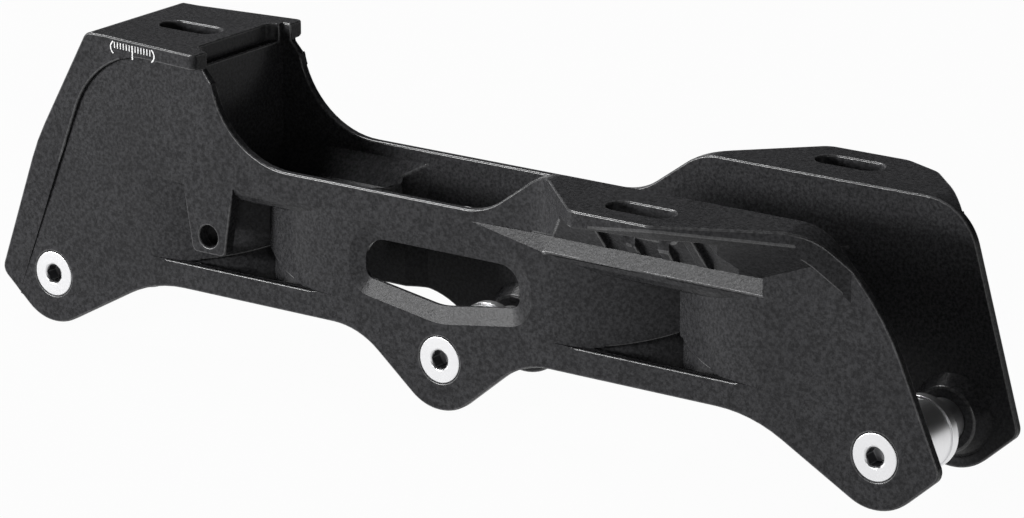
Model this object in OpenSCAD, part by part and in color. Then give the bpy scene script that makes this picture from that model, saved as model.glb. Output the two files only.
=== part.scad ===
// Inline skate frame for three wheels: one casting, three axle bolts and their spacers.
// +X points to the toe, +Y to the left-hand side and +Z up.
// The origin is below the middle axle, level with the foot of the axle lobes.
// Heights named below are measured from the axle line.

/* [Layout] */
// Distance between neighbouring axles
axle_pitch = 115.5; // [114:0.5:120]
// Largest wheel that the frame takes
wheel_d = 100; // [96:1:102]
// Width of that wheel
wheel_w = 24; // [22:0.5:24.5]
// Gap kept between a wheel and the casting
wheel_gap = 1.5; // [1:0.1:1.8]
// Radius of the casting round each axle
lobe_r = 12.2; // [11:0.1:13]

/* [Walls] */
// Width over both side walls
frame_w = 36; // [35:0.2:38]
// Thickness of a side wall
wall_t = 2.1; // [1.8:0.1:2.4]
// Clear width between the axle bosses
hub_gap = 24.2; // [23.8:0.1:25]
// Diameter of a boss at the wall
boss_foot_d = 20; // [18:0.5:22]
// Diameter of a boss at its face
boss_face_d = 15; // [13:0.5:16]

/* [Rails] */
// Underside of the lower rail
low_rail_bottom = 3.5; // [3:0.1:4.5]
// Top of the lower rail
low_rail_top = 10; // [9:0.1:11]
// Underside of the upper rail at its outer face
top_rail_bottom = 30.8; // [30:0.1:32]
// Top of the upper rail
top_rail_top = 37.3; // [36:0.1:39]

/* [Waists] */
// Width of the casting at its narrowest place between two wheels
waist_w = 12.4; // [10:0.2:14]
// Half the length over which a wall bends inwards
waist_reach = 30; // [27:0.5:32]
// Top of the web that joins the walls between two wheels
web_top = 28; // [26:0.5:29]
// How far the hollow behind the lower rail cuts back under the bulges
undercut = 1.2; // [0.8:0.1:1.4]

/* [Heel] */
// Height of the heel deck
heel_top = 62.3; // [61:0.1:65]
// Thickness of the heel deck
heel_plate_t = 4.2; // [3.5:0.1:5]
// Height of the flared band round the heel deck
heel_band_h = 4; // [3.5:0.1:5]
// Rear edge of the heel deck behind the middle axle
heel_rear = 103.3; // [101:0.1:106]
// Front edge of the heel deck behind the middle axle
heel_front = 68; // [67:0.1:70]
// Half width of the heel deck at its rear edge
heel_rear_half = 17.4; // [16:0.1:18]
// Half width of the heel deck at its front edge
heel_front_half = 21.2; // [20:0.1:23]
// Radius of the sweep from the heel down to the upper rail
heel_sweep_r = 22.5; // [18:0.5:22.5]
// How far the heel deck's front edge is set back between the walls
heel_notch = 4.8; // [4:0.1:5.5]
// Thickness of the bulkhead under the heel deck
bulkhead_t = 3; // [2.5:0.1:4]
// Front face of the bulkhead behind the middle axle
bulkhead_x = 70.5; // [70:0.1:72]
// Depth of the shallow panel in the heel's side
panel_depth = 0.9; // [0.5:0.1:1.1]
// Slope of that panel out to the wall's face, in degrees
panel_tilt = 1.8; // [1.5:0.1:2.5]

/* [Front decks] */
// Height of the two front decks
deck_top = 49.2; // [48:0.1:51]
// Thickness of a front deck
deck_t = 4; // [3.5:0.1:4.5]
// Distance from the centre plane to a deck's outer edge
deck_out = 38.5; // [37:0.1:40]
// Rear root of the right-hand deck ahead of the middle axle
deck_root = 29; // [27:0.1:31]
// How far the left-hand deck sits ahead of the right-hand one
deck_stagger = 19.5; // [18:0.1:21]
// Length of a deck's straight outer edge
deck_edge = 21; // [19:0.5:22]
// Radius of the flare from the wall out to a deck's rear edge
flare_r = 14; // [10:0.5:16]
// Top of the bevelled shelf below a deck
shelf_top = 34.7; // [34:0.1:35.2]
// Depth of that bevel into the wall
shelf_depth = 1; // [0.7:0.1:1.1]
// Width of a cell between the ribs below a deck
cell_w = 5.9; // [5:0.1:6.5]
// Distance from one cell to the next
cell_pitch = 8.8; // [8:0.1:9]
// Start of the first cell ahead of the deck's rear root
cell_start = 20.4; // [20:0.1:22]
// Depth of a cell, across the frame
cell_depth = 2; // [1.5:0.1:2.5]

/* [Boot slots] */
// Length of a boot bolt slot
slot_l = 17; // [15:0.1:18]
// Width of a boot bolt slot
slot_w = 7; // [6.2:0.1:8]
// Distance from the centre plane to a front slot
slot_side = 28.8; // [28:0.1:30]
// Centre of the right-hand front slot ahead of the middle axle
slot_front_x = 62; // [60:0.1:64]
// How far the left-hand front slot sits ahead of the right-hand one
slot_stagger = 18; // [17:0.1:19]
// Centre of the heel slot behind the middle axle
slot_heel_x = 85.7; // [84:0.1:88]

/* [Window] */
// Half length of the window over the middle axle
window_half = 21.6; // [19:0.1:22]
// Top of the window
window_top = 25.6; // [24:0.1:26]
// Lowest point of the window
window_low = 12.6; // [12.4:0.1:14]
// Height of the window's lower corners
window_side = 16; // [15.5:0.1:17]
// Width of the bevel round the window, across the wall's face
bevel_w = 4; // [3:0.1:4.3]
// Depth of that bevel into the wall
bevel_depth = 1.2; // [0.8:0.1:1.4]

/* [Brake tabs] */
// Centre of the brake hole behind the middle axle
tab_x = 67.1; // [66:0.1:68]
// Height of the brake hole
tab_hole_z = 17.8; // [17:0.1:19]
// Diameter of the brake hole
tab_hole_d = 5.4; // [5:0.1:6]
// Width of a tab at its foot
tab_foot_w = 9.6; // [9:0.1:11]
// Width of a tab at the rail
tab_root_w = 16; // [14:0.1:17]
// Thickness of a tab
tab_t = 3.2; // [2.8:0.1:4]

/* [Axle bolts] */
// Diameter of an axle's shank
shank_d = 8; // [7.9:0.1:8]
// Diameter of an axle's head
head_d = 11.1; // [10.5:0.1:12]
// Height of an axle's head
head_t = 3; // [2.5:0.1:3.3]
// Hexagon key across its flats
key_w = 4; // [4:0.5:5]
// Depth of the hexagon socket
key_depth = 3.6; // [3:0.1:4.5]
// How far an axle's end stays below the far wall's face
end_gap = 0.6; // [0.3:0.1:1]

/* [Axle spacers] */
// Diameter of a spacer's drum
drum_d = 16.4; // [15.5:0.1:16.6]
// Diameter of the rim at the drum's end
rim_d = 17.2; // [17:0.1:18]
// Width of that rim
rim_w = 2.4; // [2:0.1:3]
// Length of the drum with its rim
drum_l = 15.6; // [14:0.1:17]
// Diameter of the neck between the drum and the far boss
neck_d = 10.4; // [10:0.1:12]

/* [Fits] */
// Running gap round a shank, on the radius
run_gap = 0.05; // [0.03:0.01:0.08]
// Gap round a head, on the radius
head_gap = 0.05; // [0.03:0.01:0.08]
// Gap at each end of a spacer
end_play = 0.1; // [0.05:0.01:0.2]

/* [Hidden] */
// Angle of one step along a rounded corner
arc_step = 5;
$fn = 96;
// Outer face, inner face and boss face of a wall, from the centre plane
half_w = frame_w / 2;
half_in = half_w - wall_t;
half_hub = hub_gap / 2;
// Middle of a waist and radius of its bulges
waist_x = axle_pitch / 2;
waist_drop = half_w - waist_w / 2;
bulge_r = (waist_reach * waist_reach + waist_drop * waist_drop) / (2 * waist_drop);
// Slopes of the lobes' flanks: towards the rails, and towards the frame's ends
end_slope = 29;
middle_slope = 40;
tip_slope = 41.7;
// The frame's tips, past the outer axles
tip_reach = 16.5;
tip_drop = (lobe_r - tip_reach * sin(tip_slope)) / cos(tip_slope);
tip_r = 3;
// Knee of the rear edge
knee_rear = [-axle_pitch - 4.2, 33];
// Knee of the right-hand front edge, and the ends of the two decks
knee_front = [axle_pitch + 1.8, 32];
right_deck_end = axle_pitch - 14.5;
left_deck_end = axle_pitch + 1.8;
// Ends of the decks' front edges in plan
right_nose = [axle_pitch - 16.7, 24.5];
left_nose = [axle_pitch - 15.5, 34];
// Climb from the upper rail to a deck
climb_run = 16.5;
// Front face of the heel's walls
heel_wall_front = heel_front - 2.2;
// Widest part of a wheel's space, where the wall keeps its full width
hub_reach = waist_x - waist_reach;
tyre_half = wheel_w / 2 + wheel_gap;
tyre_centre = wheel_d / 2 - wheel_w / 2;
// Length over which that space narrows towards a waist
hub_taper = 5;
// Roundings of a deck's corners in plan
deck_rear_r = 5;
deck_front_r = 6;
deck_nose_r = 8;
// Reach of a buttress past the wall, at its foot and at the deck
buttress_foot = 5.4;
buttress_head = 12.6;
// Lower edge of a brake tab and the rounding of its corners
tab_foot_z = tab_hole_z - 4.4;
tab_r = 1.6;
// How far joined shapes run into each other
overlap = 0.3;
// Long enough to cut right through
far = 400;

// Rounding of outlines

function unit(v) = v / norm(v);
function angle_of(v) = atan2(v.y, v.x);
function short_turn(a) = (a + 540) % 360 - 180;

// Points that round the corner b, between its neighbours a and c, with radius r
function corner_arc(a, b, c, r) =
  let (
    u = unit(a - b),
    w = unit(c - b),
    half = acos(u * w) / 2,
    reach = r / tan(half),
    centre = b + unit(u + w) * r / sin(half),
    from = angle_of(b + u * reach - centre),
    turn = short_turn(angle_of(b + w * reach - centre) - from),
    n = max(2, ceil(abs(turn) / arc_step))
  )
  [for (i = [0:n]) centre + r * [cos(from + turn * i / n), sin(from + turn * i / n)]];

function flat(p) = [p[0], p[1]];

// Outline of corners [x, y, radius]
function rounded(c) =
  let (n = len(c))
  [
    for (i = [0:n - 1])
      each c[i][2] == 0
        ? [flat(c[i])]
        : corner_arc(flat(c[(i + n - 1) % n]), flat(c[i]), flat(c[(i + 1) % n]), c[i][2])
  ];

// Side view

// Where a flank of the given slope, tangent to a lobe, meets the lower rail
function flank_run(slope) = (lobe_r + cos(slope) * low_rail_bottom) / sin(slope);

// Corner of two flanks below a lobe, as an offset from its axle
function lobe_corner(a, b) =
  let (
    u = [-sin(a), -cos(a)],
    w = [sin(b), -cos(b)]
  )
  (u + w) * lobe_r / (1 + u * w);

function lobe(x, a, b) =
  let (p = lobe_corner(a, b))
  [x + p.x, p.y, lobe_r];

// Corners that both walls share, from the upper rail round the heel and along the lower rail to the toe
function shared_corners() = [
  [-heel_wall_front, top_rail_top, heel_sweep_r],
  [-heel_wall_front, heel_top, 2],
  [-heel_rear, heel_top, 2.5],
  [knee_rear.x, knee_rear.y, 60],
  [-axle_pitch - tip_reach, -tip_drop, tip_r],
  lobe(-axle_pitch, tip_slope, end_slope),
  [-axle_pitch + flank_run(end_slope), low_rail_bottom, 35],
  [-flank_run(middle_slope), low_rail_bottom, 20],
  lobe(0, middle_slope, middle_slope),
  [flank_run(middle_slope), low_rail_bottom, 20],
  [axle_pitch - flank_run(end_slope), low_rail_bottom, 35],
  lobe(axle_pitch, end_slope, tip_slope),
  [axle_pitch + tip_reach, -tip_drop, tip_r]
];

// Corners from the upper rail up to a deck
function climb_corners(root) = [
  [root, deck_top, 14],
  [root - climb_run, top_rail_top, 18]
];

function right_corners() = concat(
  shared_corners(),
  [[knee_front.x, knee_front.y, 60], [right_deck_end, deck_top, 14]],
  climb_corners(deck_root)
);

function left_corners() = concat(
  shared_corners(),
  [[left_deck_end, deck_top, 13]],
  climb_corners(deck_root + deck_stagger)
);

// A side view made solid between two distances from the centre plane
module between(from, to) {
  translate([0, to, 0])
    rotate([90, 0, 0])
      linear_extrude(to - from)
        children();
}

module slab(outline, from, to) {
  between(from, to)
    polygon(outline);
}

// A cross-section, drawn as [y, z], made solid along X
module beam(section, from, to) {
  translate([from, 0, 0])
    rotate([90, 0, 90])
      linear_extrude(to - from)
        polygon(section);
}

// The same piece on both sides of the centre plane
module both_sides() {
  children();
  mirror([0, 1, 0])
    children();
}

// Wheel spaces

// Room for a wheel's tyre, with its own round edge
module wheel_space() {
  rotate([90, 0, 0])
    rotate_extrude()
      union() {
        translate([tyre_centre, 0])
          circle(tyre_half);
        translate([0, -tyre_half])
          square([tyre_centre, 2 * tyre_half]);
      }
}

// Plan of the full-width room round an axle, narrowing towards the waists
function hub_plan(rear, front) = [
  [-rear - hub_taper, -tyre_half],
  [-rear, -half_in],
  [front, -half_in],
  [front + hub_taper, -tyre_half],
  [front + hub_taper, tyre_half],
  [front, half_in],
  [-rear, half_in],
  [-rear - hub_taper, tyre_half]
];

// Full-width room round the three axles, so that the walls have one thickness there
module hub_rooms() {
  roof = heel_top - heel_plate_t;
  translate([0, 0, -far])
    linear_extrude(far + roof)
      translate([-axle_pitch, 0])
        polygon(hub_plan(far, hub_reach));
  for (axle = [[0, hub_reach], [axle_pitch, far]])
    translate([axle[0], 0, -far])
      linear_extrude(2 * far)
        polygon(hub_plan(hub_reach, axle[1]));
}

// The open channel between the upper rails, with sloping shoulders down to the webs
module upper_channel() {
  shoulder = half_in - 4.9;
  shoulder_top = web_top + 6;
  beam(
    [
      [-half_in, shoulder_top],
      [-shoulder, web_top],
      [shoulder, web_top],
      [half_in, shoulder_top],
      [half_in, far],
      [-half_in, far]
    ],
    -bulkhead_x,
    far
  );
}

// The hollow under the heel deck, open to the rear
module heel_hollow() {
  beam(
    [
      [-half_in, web_top],
      [half_in, web_top],
      [half_in, heel_top - heel_plate_t],
      [-half_in, heel_top - heel_plate_t]
    ],
    -far,
    -bulkhead_x - bulkhead_t
  );
}

// Waists

// Plan of the hollow beside a waist: what two bulges of the given radius leave free
module waist_plan(outer, radius) {
  difference() {
    translate([-waist_reach, -outer])
      square([2 * waist_reach, outer]);
    for (side = [-1, 1])
      translate([side * waist_reach, bulge_r - half_w])
        circle(radius);
  }
}

// Pocket between the rails, with a sloping ceiling under the upper rail
module waist_pocket() {
  middle_z = top_rail_bottom - 6;
  outside = half_w + 1;
  intersection() {
    linear_extrude(far)
      waist_plan(outside, bulge_r);
    beam(
      [
        [-outside, low_rail_top],
        [0, low_rail_top],
        [0, middle_z],
        [5 - half_w, top_rail_bottom - 4.3],
        [2.2 - half_w, top_rail_bottom - 3],
        [0.8 - half_w, top_rail_bottom - 1.5],
        [-half_w, top_rail_bottom],
        [-outside, top_rail_bottom]
      ],
      -waist_reach,
      waist_reach
    );
  }
}

// Hollow behind the lower rail, open below, with a roof that rises towards the web
module rail_hollow() {
  wall_z = low_rail_top + 0.1;
  web_z = low_rail_top + 4;
  middle_z = low_rail_top + 6.5;
  intersection() {
    translate([0, 0, -far])
      linear_extrude(2 * far)
        waist_plan(half_in, bulge_r - undercut);
    beam(
      [
        [-half_in, -far],
        [0, -far],
        [0, middle_z],
        [-waist_w / 2, web_z],
        [-half_in, wall_z]
      ],
      -waist_reach,
      waist_reach
    );
  }
}

// Heel

// The heel deck and its band, trimmed by the side outline
module heel_plate() {
  corner_r = 1.5;
  bend = [5 - heel_rear, heel_rear_half + 0.5];
  bend_r = 8;
  behind = -heel_rear - 10;
  intersection() {
    translate([0, 0, heel_top - heel_band_h])
      linear_extrude(heel_band_h)
        polygon(rounded([
          [-heel_front, -heel_front_half, corner_r],
          [-heel_front, heel_front_half, corner_r],
          [bend.x, bend.y, bend_r],
          [behind, heel_rear_half, 0],
          [behind, -heel_rear_half, 0],
          [bend.x, -bend.y, bend_r]
        ]));
    slab(rounded(left_corners()), -far, far);
  }
}

// What is cut from the front of the heel's walls, so that they end below the band
module heel_brow() {
  brow = heel_top - heel_band_h;
  drop = 3.2;
  slab(
    [
      [-heel_front, far],
      [-heel_front, brow],
      [-heel_wall_front + 0.6, brow - drop],
      [0, brow - drop],
      [0, far]
    ],
    -far,
    far
  );
}

// What sets the heel deck's front edge back between the walls
module heel_set_back() {
  side = half_in - 1.4;
  corner_r = 2.5;
  translate([0, 0, heel_top - heel_plate_t])
    linear_extrude(far)
      polygon(rounded([
        [-heel_front - heel_notch, -side, corner_r],
        [-heel_front - heel_notch, side, corner_r],
        [0, side, 0],
        [0, -side, 0]
      ]));
}

// Shallow panel under the band, deepest at its upper rear corner and running out towards the axle
module heel_panel() {
  pivot = [14 - axle_pitch, 0, 46];
  top = heel_top - heel_band_h + 0.2;
  front = 2.4 - heel_front;
  rear_r = 24;
  corner_r = 3;
  cutter = 6;
  translate(pivot + [0, panel_depth - half_w, 0])
    rotate([-panel_tilt, 0, -panel_tilt])
      translate(-pivot)
        slab(
          rounded([
            [2.4 - heel_rear, top, rear_r],
            [-axle_pitch - 11.5, -8, 0],
            [-heel_front - 20, 12, corner_r],
            [front, 40, corner_r],
            [front, top, 0]
          ]),
          -cutter,
          0
        );
}

// Front decks

// Plan of a deck on the left, from the wall's inner face outwards, with a flare at its rear
function deck_plan(root, nose, end) = rounded([
  [root - flare_r, half_in, 0],
  [root - flare_r, half_w, 0],
  [root, half_w, flare_r],
  [root + deck_out - half_w, deck_out, deck_rear_r],
  [root + deck_out - half_w + deck_edge, deck_out, deck_front_r],
  [nose.x, nose.y, deck_nose_r],
  [end, half_w, 0],
  [end, half_in, 0]
]);

// Cross-section of the buttress between the upper rail and a deck
function buttress_section() = [
  [half_in + overlap, shelf_top],
  [half_w - shelf_depth, shelf_top],
  [half_w + buttress_foot, shelf_top + 2.2],
  [half_w + buttress_head, deck_top - deck_t + overlap],
  [half_in + overlap, deck_top - deck_t + overlap]
];

// Cells that leave thin ribs on the buttress's face, the last one with a sloping side
module buttress_cells(root) {
  floor = shelf_top + 0.2;
  roof = deck_top - deck_t;
  last = 3;
  foot = half_w + buttress_foot - cell_depth;
  head = half_w + buttress_head - cell_depth;
  intersection() {
    beam([[foot - 1.7, floor], [head, roof], [far, roof], [far, floor]], root, root + far);
    for (i = [0:last])
      let (slope = i == last ? 2.5 : 0)
        translate([root + cell_start + i * cell_pitch, 0, 0])
          slab(
            [[0, floor], [cell_w + slope, floor], [cell_w - slope, roof], [0, roof]],
            half_w - overlap,
            far
          );
  }
}

// Slant under a deck's edge, along a line from one point of its plan to another
module undercut(from, to) {
  lip = 1.2;
  depth = 20;
  translate([from.x, from.y, deck_top - lip])
    rotate([0, 0, angle_of(to - from)])
      beam([[1, 1], [-depth, -depth], [1, -depth]], 0, norm(to - from));
}

// A deck with what carries it, drawn on the left
module deck(root, nose, end, outline) {
  front_t = 3;
  set_back = 0.6;
  buttress_end = nose.x + 8;
  rear_corner = [root + deck_out - half_w, deck_out];
  front_corner = rear_corner + [deck_edge, 0];
  run_out = nose + [0.9, 1.8];
  difference() {
    union() {
      intersection() {
        linear_extrude(far)
          polygon(deck_plan(root, nose, end));
        difference() {
          slab(outline, 0, far);
          translate([-front_t, 0, -deck_t])
            slab(outline, -1, far + 1);
        }
      }
      difference() {
        intersection() {
          linear_extrude(far)
            polygon(deck_plan(root + set_back, nose - [1, 1], end));
          beam(buttress_section(), root - flare_r, buttress_end);
          slab(outline, 0, far);
        }
        buttress_cells(root);
        undercut(front_corner, run_out + 10 * unit(run_out - front_corner));
      }
    }
    // The slants run out to the rear and to the nose
    undercut(rear_corner + [0, 2.6], front_corner);
    undercut(front_corner, run_out);
  }
}

// Bevel along the upper rail below a deck on the left, running out to the rear
module shelf_bevel(root) {
  run_out = 20;
  end = axle_pitch - hub_reach - 1.2;
  steepness = (shelf_top - top_rail_bottom) / shelf_depth;
  section = [
    [half_w - shelf_depth, shelf_top],
    [half_w + 1, shelf_top + 1.5],
    [half_w + 1, top_rail_bottom - steepness]
  ];
  beam(section, root, end);
  translate([root, half_w, 0])
    rotate([0, 0, -asin(shelf_depth / run_out)])
      translate([-root, -half_w, 0])
        beam(section, root - run_out, root + overlap);
}

module boot_slot(x, y, top) {
  translate([x, y, top - 12])
    linear_extrude(far)
      union() {
        square([slot_l - slot_w, slot_w], center = true);
        for (side = [-1, 1])
          translate([side * (slot_l - slot_w) / 2, 0])
            circle(d = slot_w);
      }
}

// Window over the middle axle

function window_corners() = rounded([
  [-window_half, window_top, 5.5],
  [-window_half, window_side, 2.5],
  [0, window_low, 14],
  [window_half, window_side, 2.5],
  [window_half, window_top, 5.5]
]);

// Bevel round the window on the right-hand side
module window_bevel() {
  lip = bevel_depth - half_w;
  thin = 0.05;
  hull() {
    slab(window_corners(), lip - thin, lip);
    between(-half_w - thin, -half_w)
      offset(r = bevel_w)
        polygon(window_corners());
  }
}

// Brake tab on the right-hand side

function tab_corners() = rounded([
  [-tab_x - tab_root_w / 2, top_rail_bottom + 2, 0],
  [-tab_x - tab_foot_w / 2, tab_foot_z, tab_r],
  [-tab_x + tab_foot_w / 2, tab_foot_z, tab_r],
  [-tab_x + tab_root_w / 2, top_rail_bottom + 2, 0]
]);

module brake_tab() {
  difference() {
    slab(tab_corners(), -half_w, tab_t - half_w);
    translate([-tab_x, 0, tab_hole_z])
      rotate([90, 0, 0])
        cylinder(h = far, d = tab_hole_d);
  }
}

// Axles

module at_axles() {
  for (i = [-1:1])
    translate([i * axle_pitch, 0, 0])
      children();
}

// Boss on the inside of the right-hand wall
module boss() {
  translate([0, -half_in - overlap, 0])
    rotate([-90, 0, 0])
      cylinder(h = half_in + overlap - half_hub, d1 = boss_foot_d, d2 = boss_face_d);
}

// Bore through both walls with a counterbore for the head on the right
module axle_bore() {
  rotate([90, 0, 0])
    cylinder(h = far, d = shank_d + 2 * run_gap, center = true);
  translate([0, head_t - half_w, 0])
    rotate([90, 0, 0])
      cylinder(h = head_t + 1, d = head_d + 2 * head_gap);
}

// Pieces

// Lifts a piece from the axle line so that the lobes stand on the origin's level
module on_floor() {
  translate([0, 0, lobe_r])
    children();
}

module casting_shell() {
  difference() {
    union() {
      difference() {
        union() {
          slab(rounded(right_corners()), -half_w, 0);
          slab(rounded(left_corners()), 0, half_w);
        }
        heel_brow();
      }
      heel_plate();
    }
    heel_set_back();
    at_axles()
      wheel_space();
    hub_rooms();
    upper_channel();
    heel_hollow();
    for (x = [-waist_x, waist_x])
      translate([x, 0, 0])
        both_sides() {
          waist_pocket();
          rail_hollow();
        }
    both_sides()
      heel_panel();
    shelf_bevel(deck_root + deck_stagger);
    mirror([0, 1, 0])
      shelf_bevel(deck_root);
    slab(window_corners(), -far, far);
    both_sides()
      window_bevel();
    boot_slot(-slot_heel_x, 0, heel_top);
  }
}

module casting_decks() {
  difference() {
    union() {
      deck(deck_root + deck_stagger, left_nose, left_deck_end - 2, rounded(left_corners()));
      mirror([0, 1, 0])
        deck(deck_root, right_nose, knee_front.x - 8.5, rounded(right_corners()));
    }
    boot_slot(slot_front_x, -slot_side, deck_top);
    boot_slot(slot_front_x + slot_stagger, slot_side, deck_top);
  }
}

module frame_body() {
  color("DimGray")
    on_floor()
      difference() {
        union() {
          casting_shell();
          casting_decks();
          both_sides()
            brake_tab();
          at_axles()
            both_sides()
              boss();
        }
        at_axles()
          axle_bore();
      }
}

// Axle bolt with its head on the right
module axle_bolt() {
  tip = 0.8;
  socket_d = key_w / cos(30);
  rotate([-90, 0, 0])
    difference() {
      union() {
        translate([0, 0, -half_w])
          cylinder(h = head_t, d = head_d);
        translate([0, 0, -half_w])
          cylinder(h = frame_w - end_gap - tip, d = shank_d);
        translate([0, 0, half_w - end_gap - tip])
          cylinder(h = tip, d1 = shank_d, d2 = shank_d - 2 * tip);
      }
      translate([0, 0, -half_w - 1])
        cylinder(h = key_depth + 1, d = socket_d, $fn = 6);
      translate([0, 0, -half_w - 0.01])
        cylinder(h = 0.5, d1 = socket_d + 0.5, d2 = socket_d - 0.5);
    }
}

// Spacer on an axle: drum with a rim, then a neck to the far boss
module axle_spacer() {
  start = end_play - half_hub;
  rotate([-90, 0, 0])
    difference() {
      union() {
        translate([0, 0, start])
          cylinder(h = drum_l - rim_w, d = drum_d);
        translate([0, 0, start + drum_l - rim_w])
          cylinder(h = rim_w, d = rim_d);
        translate([0, 0, start])
          cylinder(h = hub_gap - 2 * end_play, d = neck_d);
      }
      cylinder(h = far, d = shank_d + 2 * run_gap, center = true);
    }
}

module axle_bolt_rear() {
  color("Silver")
    on_floor()
      translate([-axle_pitch, 0, 0])
        axle_bolt();
}

module axle_bolt_middle() {
  color("Silver")
    on_floor()
      axle_bolt();
}

module axle_bolt_front() {
  color("Silver")
    on_floor()
      translate([axle_pitch, 0, 0])
        axle_bolt();
}

module axle_spacer_rear() {
  color("Gainsboro")
    on_floor()
      translate([-axle_pitch, 0, 0])
        axle_spacer();
}

module axle_spacer_middle() {
  color("Gainsboro")
    on_floor()
      axle_spacer();
}

module axle_spacer_front() {
  color("Gainsboro")
    on_floor()
      translate([axle_pitch, 0, 0])
        axle_spacer();
}

frame_body();
axle_bolt_rear();
axle_bolt_middle();
axle_bolt_front();
axle_spacer_rear();
axle_spacer_middle();
axle_spacer_front();
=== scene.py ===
"""Looks of the inline skate frame: black casting, bright axle bolts, turned spacers, studio and camera."""

import math

import bmesh
import bpy
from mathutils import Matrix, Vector
from mathutils.kdtree import KDTree


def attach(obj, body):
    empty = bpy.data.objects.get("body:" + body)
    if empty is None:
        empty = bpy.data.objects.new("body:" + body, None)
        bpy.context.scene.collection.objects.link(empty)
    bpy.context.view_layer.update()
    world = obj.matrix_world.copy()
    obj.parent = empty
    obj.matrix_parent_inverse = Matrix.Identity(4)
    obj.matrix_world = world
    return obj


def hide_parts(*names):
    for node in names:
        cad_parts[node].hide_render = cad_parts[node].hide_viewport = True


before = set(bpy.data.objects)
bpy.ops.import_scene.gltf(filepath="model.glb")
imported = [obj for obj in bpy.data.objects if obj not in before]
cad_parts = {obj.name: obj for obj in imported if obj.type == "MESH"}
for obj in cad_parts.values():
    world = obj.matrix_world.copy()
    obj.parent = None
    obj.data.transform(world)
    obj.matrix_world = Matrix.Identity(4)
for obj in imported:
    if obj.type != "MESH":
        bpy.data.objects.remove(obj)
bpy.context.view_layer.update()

MM = 0.001
AXLE_PITCH = 115.5 * MM
AXLE_HEIGHT = 12.2 * MM
AXLES = {"rear": -AXLE_PITCH, "middle": 0.0, "front": AXLE_PITCH}

# Key socket in a bolt's head: its painted shade fades out over these radii and over these places along Y
SOCKET_RADII = (2.15 * MM, 2.45 * MM)
SOCKET_ENDS = (-15 * MM, -14 * MM)
# Phase of a bolt's turned rings for each metre of radius
RING_PHASE = 24000

# Cleaning of the CAD meshes: points merged, slivers removed, and turns that count as flat
MERGE = 0.002 * MM
SLIVER = 0.05 * MM
FLAT = math.radians(0.3)
NEARLY_FLAT = math.radians(0.5)

# Roundings of the casting's edges and of the turned pieces' rims
EDGE_ROUND = 0.45 * MM
RIM_ROUND = 0.25 * MM
# Least turn at an edge that shows as sharp
SHARP = math.radians(38)
# Sharp edges over twice this length are split into pieces shorter than it
RUN = 4 * MM
# About the step between the points of sharp edges to which the room beside a rounding is measured
SPACING = 0.3 * MM
# Room that a rounding needs to an outer sharp edge and to an inner one, in its own widths
OUTER_ROOM = 2.3
INNER_ROOM = 1.5
# An edge isn't rounded where another sharp edge leaves its end within this angle of it
FORK = math.radians(30)
# A point is beside an edge where less than this share of the way to it runs along the edge
SHARE_ALONG = 0.7
# Cosines of the widest turns that are shaded as one: between cast faces, from a rounding to a cast face,
# and between the two sides of a smooth edge
CAST_TURN = 0.978
ROUND_TURN = 0.6
SMOOTH_TURN = 0.9999

# Plan of the near face of the heel's band, and the print on it, in millimetres
BAND_REAR = (-98.3, -17.9)
BAND_FRONT = (-68.0, -21.2)
SCALE_REAR = -95.4
SCALE_FRONT = -80.8
SCALE_MIDDLE = 59.9
ARC_HALF_HEIGHT = 1.5
ARC_DEPTH = 0.9
ARC_WIDTH = 0.36
TICKS = 13
TICK_INSET = 1.4
TICK_TOP = 1.4
TICK_FOOT = -0.1
TICK_WIDTH = 0.3
INDEX_FOOT = -2.0
INDEX_WIDTH = 0.42
# How far the print stands out from the band
INK = 0.03 * MM

# The floor's own grey, and how much of it a white glow covers for the camera and in reflections
FLOOR_GREY = (0.2, 0.2, 0.2)
FLOOR_GLOW = 0.97
# Heights, on a unit sphere, between which the surroundings go from white to dim
HORIZON = (0.02, 0.10)
# Place that the lamps face
LAMP_AIM = Vector((0, 0, 40 * MM))


# Shader nodes


class Value:
    """A socket in a node tree, with the operators that the finishes use."""

    def __init__(self, tree, socket):
        self.tree = tree
        self.socket = socket

    def calculated(self, operation, *inputs):
        return self.tree.node("ShaderNodeMath", {"operation": operation}, inputs)

    def __add__(self, other):
        return self.calculated("ADD", self, other)

    def __radd__(self, other):
        return self.calculated("ADD", other, self)

    def __sub__(self, other):
        return self.calculated("SUBTRACT", self, other)

    def __rsub__(self, other):
        return self.calculated("SUBTRACT", other, self)

    def __mul__(self, other):
        return self.calculated("MULTIPLY", self, other)

    def __rmul__(self, other):
        return self.calculated("MULTIPLY", other, self)

    def sine(self):
        return self.calculated("SINE", self)

    def smooth(self, low, high, **ends):
        """A smooth step from 0 at low to 1 at high, or between other ends."""
        named = {name.replace("_", " "): value for name, value in ends.items()}
        sockets = {"Value": self, "From Min": low, "From Max": high, **named}
        return self.tree.node("ShaderNodeMapRange", {"interpolation_type": "SMOOTHSTEP"}, sockets)


class Tree:
    """The node tree of a material or a world, emptied but for its output."""

    def __init__(self, owner, output):
        owner.use_nodes = True
        self.owner = owner
        self.nodes = owner.node_tree.nodes
        self.links = owner.node_tree.links
        self.nodes.clear()
        self.output = self.nodes.new(output)

    def node(self, kind, settings=None, sockets=None, output=0):
        """Adds a node, its settings first, then its sockets as values or links, and returns one output."""
        made = self.nodes.new(kind)
        for name, setting in (settings or {}).items():
            setattr(made, name, setting)
        given = sockets or {}
        pairs = given.items() if isinstance(given, dict) else enumerate(given)
        for name, value in pairs:
            if isinstance(value, Value):
                self.links.new(value.socket, made.inputs[name])
            else:
                made.inputs[name].default_value = value
        return Value(self, made.outputs[output])

    def show(self, shader):
        """Links a shader to the output, and returns the material or world."""
        self.links.new(shader.socket, self.output.inputs["Surface"])
        return self.owner


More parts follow.
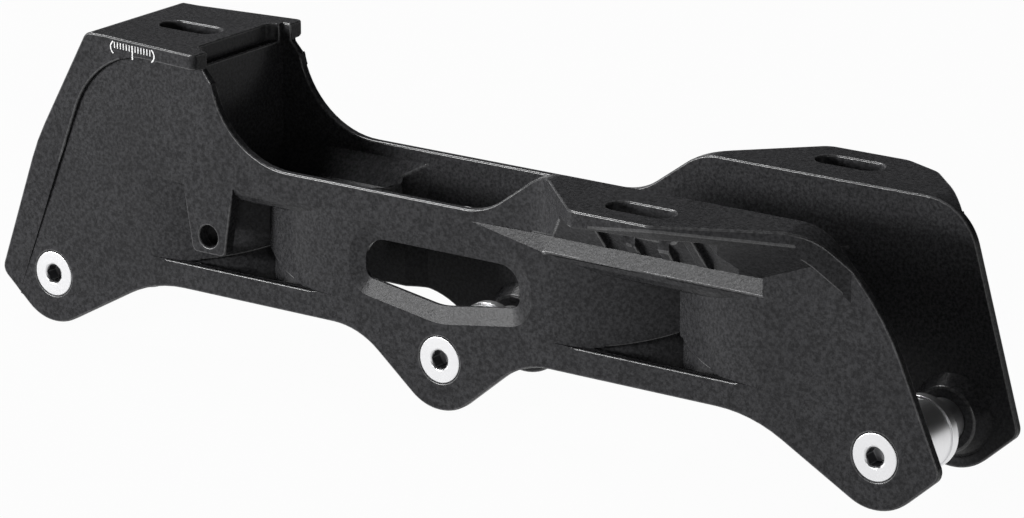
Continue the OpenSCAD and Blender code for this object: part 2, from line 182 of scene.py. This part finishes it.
class Finish(Tree):
    """A material's node tree, with the textures and mixes that the finishes share."""

    def __init__(self, name):
        super().__init__(bpy.data.materials.new(name), "ShaderNodeOutputMaterial")

    def place(self, centre=(0, 0, 0), stretch=(1, 1, 1)):
        """Object coordinates about a centre, stretched along the axes."""
        here = self.node("ShaderNodeTexCoord", output="Object")
        offset = [-c * s for c, s in zip(centre, stretch)]
        return self.node("ShaderNodeMapping", None, {"Vector": here, "Location": offset, "Scale": stretch})

    def noise(self, place, scale, detail=2.0, roughness=0.5):
        sockets = {"Vector": place, "Scale": scale, "Detail": detail, "Roughness": roughness}
        return self.node("ShaderNodeTexNoise", None, sockets)

    def mix(self, factor, low, high):
        """Colour between low and high, each a colour or a socket. The node's colours are inputs 6 and 7."""
        low, high = (end if isinstance(end, Value) else (*end, 1) for end in (low, high))
        sockets = {"Factor": factor, 6: low, 7: high}
        return self.node("ShaderNodeMix", {"data_type": "RGBA"}, sockets, output=2)

    def bump(self, height, strength, distance):
        sockets = {"Height": height, "Strength": strength, "Distance": distance}
        return self.node("ShaderNodeBump", None, sockets)

    def surface(self, **sockets):
        """The principled shader, its sockets named with underscores for spaces."""
        named = {name.replace("_", " "): value for name, value in sockets.items()}
        return self.show(self.node("ShaderNodeBsdfPrincipled", None, named))


# Finishes


def satin_coat(name, black, roughness, specular):
    """Black coat over sand-cast grain: fine peel, scattered paler grains and slow changes of gloss."""
    finish = Finish(name)
    place = finish.place()
    grain = finish.noise(place, scale=1900)
    peel = finish.noise(place, scale=700)
    cloud = finish.noise(place, scale=60, detail=3.0)
    flecks = finish.noise(place, scale=1250, detail=3.0, roughness=0.7).smooth(0.32, 0.7)
    pale = [c * 2.6 for c in black]
    return finish.surface(
        Base_Color=finish.mix(flecks * (0.65 + cloud * 0.7), black, pale),
        Roughness=roughness + (cloud - 0.5) * 0.1 + (grain - 0.5) * 0.1,
        Specular_IOR_Level=specular,
        Normal=finish.bump(grain * 0.7 + peel * 0.3, strength=0.4, distance=0.1 * MM),
    )


def turned_face(name, axle_x, base, socket):
    """Bright steel faced on a lathe, with rings about its axle and painted shade in the key socket of the
    head.
    """
    finish = Finish(name)
    centre = (axle_x, 0, AXLE_HEIGHT)
    place = finish.place(centre)
    flat = finish.place(centre, stretch=(1, 0, 1))
    radius = finish.node("ShaderNodeVectorMath", {"operation": "LENGTH"}, {0: flat}, output="Value")
    across = finish.node("ShaderNodeSeparateXYZ", None, {0: place}, output="Y")
    # Mask of the key socket, where the base colour is darkened to paint in the shade of the recess
    painted_socket_shade = (1 - radius.smooth(*SOCKET_RADII)) * (1 - across.smooth(*SOCKET_ENDS))
    rings = (radius * RING_PHASE).sine()
    scatter = finish.noise(place, scale=1500)
    bright = finish.mix(scatter, base, [c * 0.9 for c in base])
    return finish.surface(
        Base_Color=finish.mix(painted_socket_shade, bright, socket),
        Metallic=1.0,
        Roughness=0.3 + scatter * 0.1 + painted_socket_shade * 0.15,
        Normal=finish.bump(rings * 0.4 + scatter * 0.6, strength=0.12, distance=0.04 * MM),
    )


def turned_sleeve(name, base):
    """Aluminium turned along its length, with fine tool lines round it."""
    finish = Finish(name)
    lines = finish.noise(finish.place(stretch=(0.02, 1, 0.02)), scale=5200, detail=3.0)
    return finish.surface(
        Base_Color=finish.mix(lines, base, [c * 0.9 for c in base]),
        Metallic=1.0,
        Roughness=0.28 + lines * 0.14,
        Normal=finish.bump(lines, strength=0.15, distance=0.04 * MM),
    )


def white_print():
    """Matt white ink with a little show-through."""
    finish = Finish("white_print")
    patches = finish.noise(finish.place(), scale=2600)
    return finish.surface(
        Base_Color=finish.mix(patches.smooth(0.55, 0.8), (0.78, 0.78, 0.78), (0.42, 0.42, 0.42)),
        Roughness=0.5 + patches * 0.15,
        Normal=finish.bump(patches, strength=0.2, distance=0.02 * MM),
    )


def pale_floor():
    """Grey floor that glows white for the camera and in reflections, and keeps a faint shadow."""
    finish = Finish("pale_floor")
    shade = finish.node("ShaderNodeBsdfDiffuse", None, {"Color": (*FLOOR_GREY, 1)})
    glow = finish.node("ShaderNodeEmission", None, {"Color": (1, 1, 1, 1), "Strength": 1.0})
    path = "ShaderNodeLightPath"
    seen = finish.node(path, output="Is Camera Ray")
    mirrored = finish.node(path, output="Is Glossy Ray") + finish.node(path, output="Is Transmission Ray")
    cover = (seen + mirrored) * FLOOR_GLOW
    return finish.show(finish.node("ShaderNodeMixShader", None, {0: cover, 1: shade, 2: glow}))


# Casting and turned pieces


def select_only(piece):
    bpy.ops.object.select_all(action="DESELECT")
    bpy.context.view_layer.objects.active = piece
    piece.select_set(True)


def cleaned_copy(name):
    """A copy of a CAD node, its points merged and its flat faces in even triangles, left in edit mode."""
    piece = bpy.data.objects.new(f"softened_{name}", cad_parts[name].data.copy())
    bpy.context.collection.objects.link(piece)
    select_only(piece)
    bpy.ops.object.mode_set(mode="EDIT")
    bpy.ops.mesh.select_all(action="SELECT")
    bpy.ops.mesh.remove_doubles(threshold=MERGE)
    bpy.ops.mesh.dissolve_limited(angle_limit=FLAT)
    bpy.ops.mesh.quads_convert_to_tris(quad_method="BEAUTY", ngon_method="BEAUTY")
    bpy.ops.mesh.dissolve_degenerate(threshold=SLIVER)
    bpy.ops.mesh.quads_convert_to_tris(quad_method="BEAUTY", ngon_method="BEAUTY")
    bpy.ops.mesh.beautify_fill(angle_limit=NEARLY_FLAT)
    bpy.ops.mesh.faces_shade_smooth()
    return piece


def split_long_creases(form):
    """Splits long sharp edges, so that a tight place at one end leaves the rest of the edge its rounding."""
    creases = [e for e in form.edges if e.calc_face_angle_signed(0) > SHARP]
    for edge in [e for e in creases if e.calc_length() > 2 * RUN]:
        bmesh.ops.bisect_edges(form, edges=[edge], cuts=int(edge.calc_length() / RUN))
    split = [f for f in form.faces if len(f.verts) > 3]
    bmesh.ops.triangulate(form, faces=split, quad_method="BEAUTY", ngon_method="BEAUTY")


def sharp_with_room(form, width):
    """The outer edges sharp enough to show that have room beside them for a rounding of this width."""
    bend = {e: e.calc_face_angle_signed(0) for e in form.edges if len(e.link_faces) == 2}
    creases = [e for e, angle in bend.items() if abs(angle) > SHARP]
    points = []
    for edge in creases:
        a, b = (v.co for v in edge.verts)
        steps = max(2, round(edge.calc_length() / SPACING))
        points += [(a.lerp(b, n / steps), edge) for n in range(steps + 1)]
    near = KDTree(len(points))
    for n, (point, edge) in enumerate(points):
        near.insert(point, n)
    near.balance()
    return [e for e in creases if bend[e] > SHARP and not cramped(e, bend, points, near, width)]


def cramped(edge, bend, points, near, width):
    """Whether another crease folds back on this edge or runs too near beside it."""
    a, b = edge.verts
    along = (b.co - a.co).normalized()
    for corner, away in ((a, along), (b, -along)):
        for other in corner.link_edges:
            if other is not edge and abs(bend.get(other, 0)) > SHARP:
                reach = other.other_vert(corner).co - corner.co
                if reach.angle(away, 0) < FORK:
                    return True
    for part in (0.25, 0.5, 0.75):
        here = a.co.lerp(b.co, part)
        for point, n, distance in near.find_range(here, OUTER_ROOM * width):
            other = points[n][1]
            room = width * (OUTER_ROOM if bend[other] > 0 else INNER_ROOM)
            beside = abs((point - here).dot(along)) < SHARE_ALONG * distance
            if other is not edge and distance < room and beside:
                return True
    return False


def mark_roundings(piece, width):
    """Weights the edges that are to be rounded, notes each face's own normal, and leaves edit mode."""
    form = bmesh.from_edit_mesh(piece.data)
    split_long_creases(form)
    weight = form.edges.layers.float.new("bevel_weight_edge")
    before = form.faces.layers.float_vector.new("cast_normal")
    for face in form.faces:
        face[before] = face.normal
    for edge in sharp_with_room(form, width):
        edge[weight] = 1
    bmesh.update_edit_mesh(piece.data)
    bpy.ops.object.mode_set(mode="OBJECT")


def round_edges(piece, width):
    """Rounds the weighted edges, with the roundings in the piece's second material."""
    rounding = piece.modifiers.new("rounding", "BEVEL")
    rounding.limit_method = "WEIGHT"
    rounding.width = width
    rounding.segments = 2
    rounding.use_clamp_overlap = False
    rounding.loop_slide = False
    rounding.material = 1
    bpy.ops.object.modifier_apply(modifier="rounding")


def shade_true(mesh):
    """Corner normals that keep the cast faces true and turn only across the roundings."""
    form = bmesh.new()
    form.from_mesh(mesh)
    before = form.faces.layers.float_vector["cast_normal"]
    true = {f: f[before].copy() if f.material_index == 0 else f.normal.copy() for f in form.faces}
    lean = {}
    for face in form.faces:
        if face.normal.dot(true[face]) < 0:
            face.normal_flip()
        own = CAST_TURN if face.material_index == 0 else ROUND_TURN
        for vert in face.verts:
            cast = [f for f in vert.link_faces if f.material_index == 0 and true[f].dot(true[face]) > own]
            chosen = cast or [f for f in vert.link_faces if f.material_index == 1]
            lean[face, vert] = sum((true[f] * f.calc_area() for f in chosen), Vector()).normalized()
    for edge in form.edges:
        for vert in edge.verts:
            sides = [lean[face, vert] for face in edge.link_faces]
            if any(side.dot(sides[0]) < SMOOTH_TURN for side in sides):
                edge.smooth = False
    normals = [lean[corner.face, corner.vert] for face in form.faces for corner in face.loops]
    form.to_mesh(mesh)
    form.free()
    mesh.normals_split_custom_set(normals)


def softened(name, body, width, face, edge):
    """A cleaned copy of a CAD node, its outer edges rounded and finished apart, which stands in for it."""
    piece = cleaned_copy(name)
    mark_roundings(piece, width)
    piece.data.materials.clear()
    piece.data.materials.append(face)
    piece.data.materials.append(edge)
    round_edges(piece, width)
    shade_true(piece.data)
    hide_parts(name)
    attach(piece, body)
    return piece


# Print on the heel


def band_point(along, height):
    """A point on the near face of the heel's band, from its place along X and its height over the axles."""
    part = (along - BAND_REAR[0]) / (BAND_FRONT[0] - BAND_REAR[0])
    across = BAND_REAR[1] + part * (BAND_FRONT[1] - BAND_REAR[1])
    return Vector((along * MM, across * MM, height * MM + AXLE_HEIGHT))


def stroke(form, path, width):
    """A printed line of one width along points (x, z) on the band, standing just proud of it."""
    run = band_point(SCALE_FRONT, 0) - band_point(SCALE_REAR, 0)
    outward = run.cross(Vector((0, 0, 1))).normalized() * INK
    sides = []
    for n, (x, z) in enumerate(path):
        before, after = path[max(n - 1, 0)], path[min(n + 1, len(path) - 1)]
        turn = Vector((after[0] - before[0], after[1] - before[1])).normalized() * width / 2
        left, right = band_point(x - turn.y, z + turn.x), band_point(x + turn.y, z - turn.x)
        sides.append([form.verts.new(p + d) for p in (left, right) for d in (outward, -outward)])
    for a, b in zip(sides, sides[1:]):
        for m, n in ((0, 2), (2, 3), (3, 1), (1, 0)):
            form.faces.new((a[m], a[n], b[n], b[m]))
    form.faces.new([sides[0][n] for n in (0, 1, 3, 2)])
    form.faces.new([sides[-1][n] for n in (0, 2, 3, 1)])


def end_arcs(form):
    """The two arcs that close the scale at its ends."""
    for side, end in ((-1, SCALE_REAR), (1, SCALE_FRONT)):
        arc = []
        for t in (-1, -0.6, -0.2, 0.2, 0.6, 1):
            arc.append((end - side * ARC_DEPTH * t * t, SCALE_MIDDLE + ARC_HALF_HEIGHT * t))
        stroke(form, arc, ARC_WIDTH)


def scale_ticks(form):
    """Even ticks along the scale, the middle one longer and wider."""
    length = SCALE_FRONT - SCALE_REAR - 2 * TICK_INSET
    for n in range(TICKS):
        x = SCALE_REAR + TICK_INSET + n * length / (TICKS - 1)
        middle = n == TICKS // 2
        foot = SCALE_MIDDLE + (INDEX_FOOT if middle else TICK_FOOT)
        width = INDEX_WIDTH if middle else TICK_WIDTH
        stroke(form, [(x, foot), (x, SCALE_MIDDLE + TICK_TOP)], width)


def heel_scale(material):
    """The plain index scale printed on the near side of the heel's band."""
    form = bmesh.new()
    end_arcs(form)
    scale_ticks(form)
    bmesh.ops.recalc_face_normals(form, faces=form.faces)
    mesh = bpy.data.meshes.new("heel_scale")
    form.to_mesh(mesh)
    form.free()
    piece = bpy.data.objects.new("heel_scale", mesh)
    bpy.context.collection.objects.link(piece)
    mesh.materials.append(material)
    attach(piece, "frame")


def dressed():
    """Every node in its finish."""
    coat = satin_coat("satin_black_coat", black=(0.019, 0.019, 0.020), roughness=0.27, specular=0.065)
    # Paler coat on the roundings: partly edge wear, partly a painted highlight that brightens every rounded
    # edge
    rubbed_edge_and_highlight = satin_coat("rubbed_black_edge", black=(0.032, 0.032, 0.033), roughness=0.24, specular=0.4)
    casting = softened("frame_body", "frame", EDGE_ROUND, coat, rubbed_edge_and_highlight)
    for end, x in AXLES.items():
        # The socket colour is painted shade standing for the recess of the key socket
        steel = turned_face(f"bright_axle_{end}", x, base=(0.68, 0.68, 0.69), socket=(0.10, 0.10, 0.105))
        bolt = softened(f"axle_bolt_{end}", f"axle_bolt_{end}", RIM_ROUND, steel, steel)
        sleeve = turned_sleeve(f"turned_spacer_{end}", base=(0.82, 0.82, 0.83))
        spacer = softened(f"axle_spacer_{end}", f"axle_spacer_{end}", RIM_ROUND, sleeve, sleeve)
    heel_scale(white_print())


# Studio


def studio_floor():
    bpy.ops.object.select_all(action="DESELECT")
    bpy.ops.mesh.primitive_plane_add(size=8, location=(0, 0, 0))
    floor = bpy.context.object
    floor.name = "floor"
    floor.data.materials.append(pale_floor())


def softbox(name, place, size, power):
    """An area lamp that faces the middle of the frame."""
    lamp = bpy.data.lights.new(name, "AREA")
    lamp.shape = "RECTANGLE"
    lamp.size, lamp.size_y = size
    lamp.energy = power
    holder = bpy.data.objects.new(name, lamp)
    bpy.context.collection.objects.link(holder)
    holder.location = place
    way = LAMP_AIM - Vector(place)
    holder.rotation_euler = way.to_track_quat("-Z", "Y").to_euler()


def dim_surroundings(ambient):
    """A dim room that turns white towards the horizon."""
    room = Tree(bpy.data.worlds.new("studio"), "ShaderNodeOutputWorld")
    way = room.node("ShaderNodeTexCoord", output="Generated")
    height = room.node("ShaderNodeSeparateXYZ", None, {0: way}, output="Z")
    glow = height.smooth(*HORIZON, To_Min=1.0, To_Max=ambient)
    bpy.context.scene.world = room.show(room.node("ShaderNodeBackground", None, {"Strength": glow}))


def photo_camera():
    """The camera at the photograph's place, fitted to the frame's known points."""
    camera = bpy.data.cameras.new("photo_camera")
    camera.sensor_width = 36
    camera.lens = 161.22
    holder = bpy.data.objects.new("photo_camera", camera)
    bpy.context.collection.objects.link(holder)
    holder.location = (0.58513, -0.82429, 0.34454)
    holder.rotation_euler = (math.radians(72.81), 0, math.radians(35.01))
    bpy.context.scene.camera = holder


dressed()
studio_floor()
softbox("key", place=(-1.4, -1.4, 0.45), size=(1.0, 0.8), power=23)
softbox("low", place=(-0.60, -0.95, 0.26), size=(0.4, 0.15), power=9)
softbox("top", place=(-0.65, 0.15, 0.95), size=(0.5, 0.35), power=11.5)
softbox("edge", place=(0.92, -0.72, 0.28), size=(0.12, 0.5), power=1.1)
dim_surroundings(ambient=0.02)
photo_camera()
bpy.context.scene.view_settings.view_transform = "Standard"
